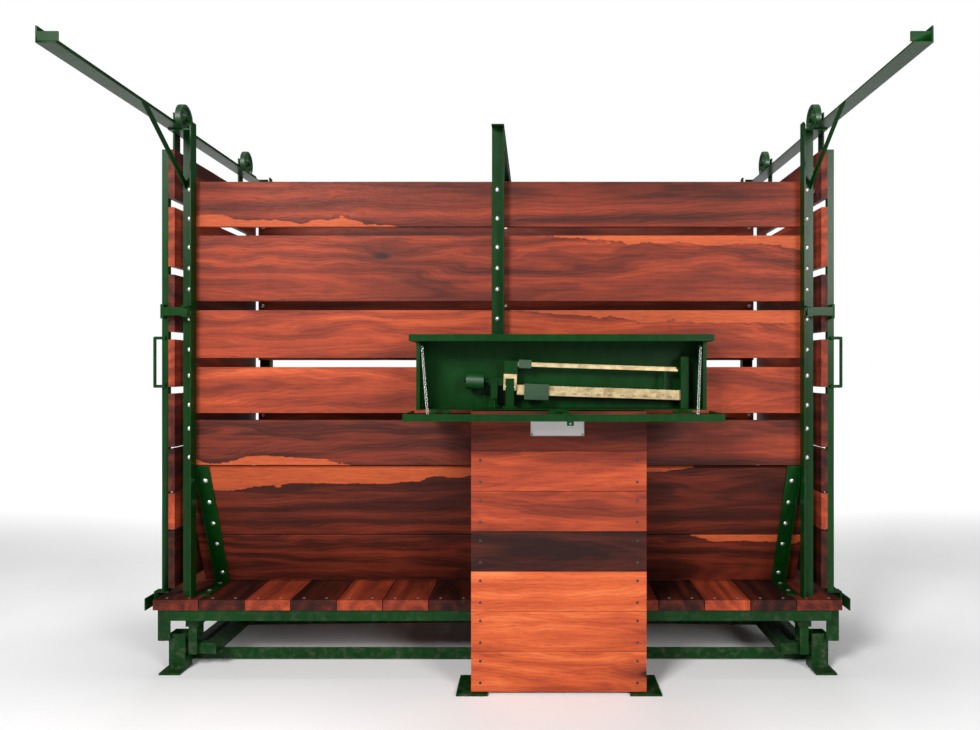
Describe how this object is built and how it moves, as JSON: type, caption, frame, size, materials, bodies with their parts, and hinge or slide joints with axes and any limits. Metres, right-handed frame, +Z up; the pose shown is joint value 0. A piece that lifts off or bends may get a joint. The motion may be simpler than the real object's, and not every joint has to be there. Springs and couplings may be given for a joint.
{
  "type": "livestock weighing crate",
  "caption": "Planked livestock weighing crate on a lever platform, with sliding end gates on overhead rails and a boxed steelyard beam on a timber column.",
  "frame": {"origin": "on the ground at the middle of the overall box: X = 0 is the middle of the crate's length, Y = 0 the middle of the gate rails", "axes": "+X along the crate to the right as seen from the beam, +Y from the steelyard column into the crate, +Z up"},
  "size_m": [2.748, 1.822, 2.2753],
  "materials": {
    "green_paint": "gloss enamel over rolled steel, thin runs and scuffs at edges",
    "wall_timber": "oiled tropical hardwood, sawn and planed",
    "deck_timber": "oiled tropical hardwood, heavy planks",
    "column_timber": "oiled hardwood boards",
    "zinc": "zinc plated",
    "brass": "passivated yellow plating",
    "plate": "satin",
    "black_iron": "green enamel on casting"
  },
  "bodies": {
    "crate": {"beam_guide": "green_paint", "beam_stand": "green_paint", "bearing_posts": "green_paint", "box_body": "green_paint", "box_lid": "green_paint", "centre_posts": "green_paint", "centre_tie": "green_paint", "column_frame": "green_paint", "column_planks_front": "column_timber", "column_planks_sides": "column_timber", "column_screws": "zinc", "corner_bumpers": "green_paint", "corner_posts": "green_paint", "deck_bolts": "zinc", "deck_frame": "green_paint", "deck_planks": "deck_timber", "door_chain_left": "zinc", "door_chain_right": "zinc", "door_hinges": "green_paint", "extension_stand": "green_paint", "foot_bars": "green_paint", "foot_columns": "green_paint", "foot_plates": "green_paint", "gate_guides": "green_paint", "ground_frame": "green_paint", "latch_keepers": "green_paint", "nameplate": "plate", "rail_left": "green_paint", "rail_right": "green_paint", "rail_seats": "green_paint", "slope_bars": "green_paint", "wall_bolts": "zinc", "wall_planks_front": "wall_timber", "wall_planks_rear": "wall_timber"},
    "gate_left": {"gate_planks_left": "wall_timber", "gate_frame_left": "green_paint", "gate_hangers_left": "green_paint", "gate_bolts_left": "zinc"},
    "gate_right": {"gate_planks_right": "wall_timber", "gate_frame_right": "green_paint", "gate_hangers_right": "green_paint", "gate_bolts_right": "zinc"},
    "wheel_left_front": {"wheel_left_front": "black_iron"},
    "wheel_left_rear": {"wheel_left_rear": "black_iron"},
    "wheel_right_front": {"wheel_right_front": "black_iron"},
    "wheel_right_rear": {"wheel_right_rear": "black_iron"},
    "latch_left": {"latch_left": "green_paint"},
    "latch_right": {"latch_right": "green_paint"},
    "door": {"box_door": "green_paint"},
    "beam": {"beam_bars": "brass", "beam_yoke": "brass"},
    "large_poise": {"large_poise": "black_iron"},
    "small_poise": {"small_poise": "black_iron"},
    "balance_weight": {"balance_weight": "black_iron"},
    "beam_lock": {"beam_lock": "zinc"},
    "steelyard_rod": {"steelyard_rod": "zinc"},
    "extension_lever": {"extension_lever": "green_paint"},
    "main_lever_left": {"main_lever_left": "green_paint"},
    "main_lever_right": {"main_lever_right": "green_paint"}
  },
  "joints": [
    {"name": "gate_left_slide", "type": "slide", "parent": "crate", "child": "gate_left", "axis": [0, -1, 0], "range_m": [0, 0.85]},
    {"name": "wheel_left_front_spin", "type": "hinge", "parent": "gate_left", "child": "wheel_left_front", "pos_m": [-1.273, 0.017, 2.2153], "axis": [1, 0, 0], "range_deg": [-5, 818]},
    {"name": "wheel_left_rear_spin", "type": "hinge", "parent": "gate_left", "child": "wheel_left_rear", "pos_m": [-1.273, 0.717, 2.2153], "axis": [1, 0, 0], "range_deg": [-5, 818]},
    {"name": "gate_right_slide", "type": "slide", "parent": "crate", "child": "gate_right", "axis": [0, -1, 0], "range_m": [0, 0.85]},
    {"name": "wheel_right_front_spin", "type": "hinge", "parent": "gate_right", "child": "wheel_right_front", "pos_m": [1.273, 0.017, 2.2153], "axis": [1, 0, 0], "range_deg": [-5, 818]},
    {"name": "wheel_right_rear_spin", "type": "hinge", "parent": "gate_right", "child": "wheel_right_rear", "pos_m": [1.273, 0.717, 2.2153], "axis": [1, 0, 0], "range_deg": [-5, 818]},
    {"name": "latch_left_swing", "type": "hinge", "parent": "gate_left", "child": "latch_left", "pos_m": [-1.308, -0.096, 1.433], "axis": [0, 0, -1], "range_deg": [0, 100]},
    {"name": "latch_right_swing", "type": "hinge", "parent": "gate_right", "child": "latch_right", "pos_m": [1.308, -0.096, 1.433], "axis": [0, 0, 1], "range_deg": [0, 100]},
    {"name": "door_drop", "type": "hinge", "parent": "crate", "child": "door", "pos_m": [0.244, -0.2555, 1.051], "axis": [-1, 0, 0], "range_deg": [0, 90], "deforming": ["door_chain_left", "door_chain_right"]},
    {"name": "beam_swing", "type": "hinge", "parent": "crate", "child": "beam", "pos_m": [0.05, -0.158, 1.158], "axis": [0, 1, 0], "range_deg": [-3.6, 0]},
    {"name": "large_poise_slide", "type": "slide", "parent": "beam", "child": "large_poise", "axis": [0.9995, 0, -0.0332], "range_m": [0, 0.42]},
    {"name": "small_poise_slide", "type": "slide", "parent": "beam", "child": "small_poise", "axis": [0.9995, 0, -0.0332], "range_m": [0, 0.49]},
    {"name": "balance_weight_travel", "type": "slide", "parent": "beam", "child": "balance_weight", "axis": [0.9995, 0, -0.0332], "range_m": [-0.008, 0.014]},
    {"name": "beam_lock_turn", "type": "hinge", "parent": "crate", "child": "beam_lock", "pos_m": [-0.072, -0.192, 1.07], "axis": [1, 0, 0], "range_deg": [0, 70]},
    {"name": "rod_lift", "type": "slide", "parent": "crate", "child": "steelyard_rod", "axis": [0, 0, 1], "range_m": [-0.0042, 0.0003]},
    {"name": "extension_lever_rock", "type": "hinge", "parent": "crate", "child": "extension_lever", "pos_m": [-0.01, 0.5225, 0.135], "axis": [1, 0, 0], "range_deg": [-0.03, 0.36]},
    {"name": "main_lever_left_rock", "type": "hinge", "parent": "crate", "child": "main_lever_left", "pos_m": [-1.288, 0.4025, 0.084], "axis": [0, 1, 0], "range_deg": [-0.004, 0.034]},
    {"name": "main_lever_right_rock", "type": "hinge", "parent": "crate", "child": "main_lever_right", "pos_m": [1.288, 0.4025, 0.084], "axis": [0, 1, 0], "range_deg": [-0.034, 0.004]}
  ],
  "couplings": [
    {"joint": "wheel_left_front_spin", "follows": "gate_left_slide", "rad_per_m": 16.667},
    {"joint": "wheel_left_rear_spin", "follows": "gate_left_slide", "rad_per_m": 16.667},
    {"joint": "wheel_right_front_spin", "follows": "gate_right_slide", "rad_per_m": 16.667},
    {"joint": "wheel_right_rear_spin", "follows": "gate_right_slide", "rad_per_m": 16.667},
    {"joint": "rod_lift", "follows": "beam_swing", "m_per_rad": 0.06},
    {"joint": "extension_lever_rock", "follows": "beam_swing", "ratio": -0.08817},
    {"joint": "main_lever_left_rock", "follows": "beam_swing", "ratio": -0.0084678},
    {"joint": "main_lever_right_rock", "follows": "beam_swing", "ratio": 0.0083343}
  ]
}
